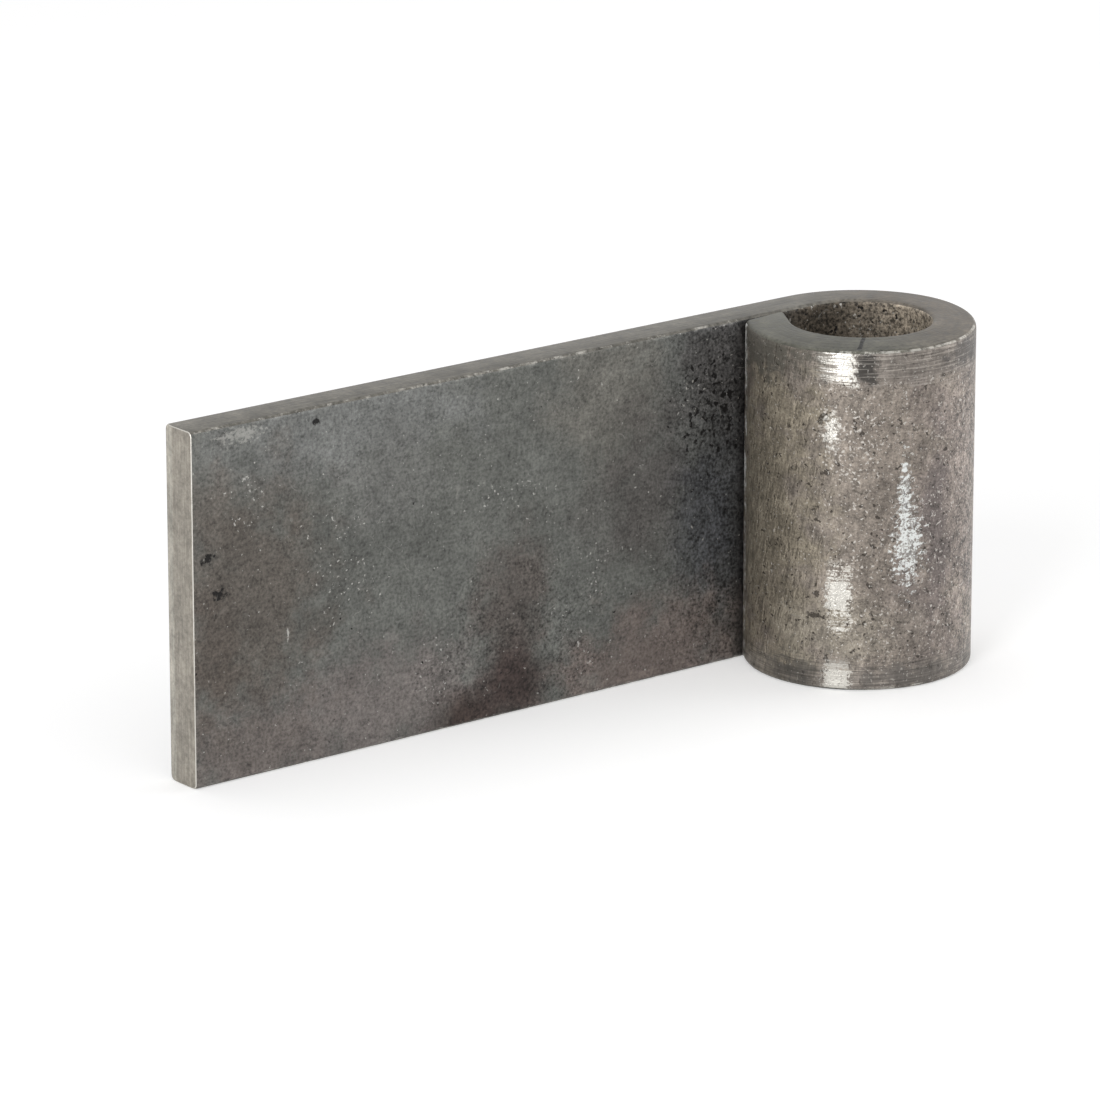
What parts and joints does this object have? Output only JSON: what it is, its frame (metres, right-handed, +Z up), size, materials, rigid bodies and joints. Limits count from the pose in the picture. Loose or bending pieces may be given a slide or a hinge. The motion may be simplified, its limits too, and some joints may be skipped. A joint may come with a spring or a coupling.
{
  "type": "rolled eye hinge strap",
  "caption": "Flat steel strap with its end rolled round into an eye for a hinge pin, made to be welded on by its flat back.",
  "frame": {"origin": "on the axis of the eye's bore, halfway up the eye", "axes": "+X from the strap's free end towards the eye, +Y square to the strap's back face, which is the face that is welded, +Z up the bore"},
  "size_m": [0.1, 0.026, 0.04],
  "materials": {
    "raw_steel": "raw hot-rolled steel with dark mill scale on the flats, rubbed lighter round the eye and bright at the sheared edges"
  },
  "bodies": {
    "root": {"rolled_eye_strap": "raw_steel"}
  },
  "joints": []
}
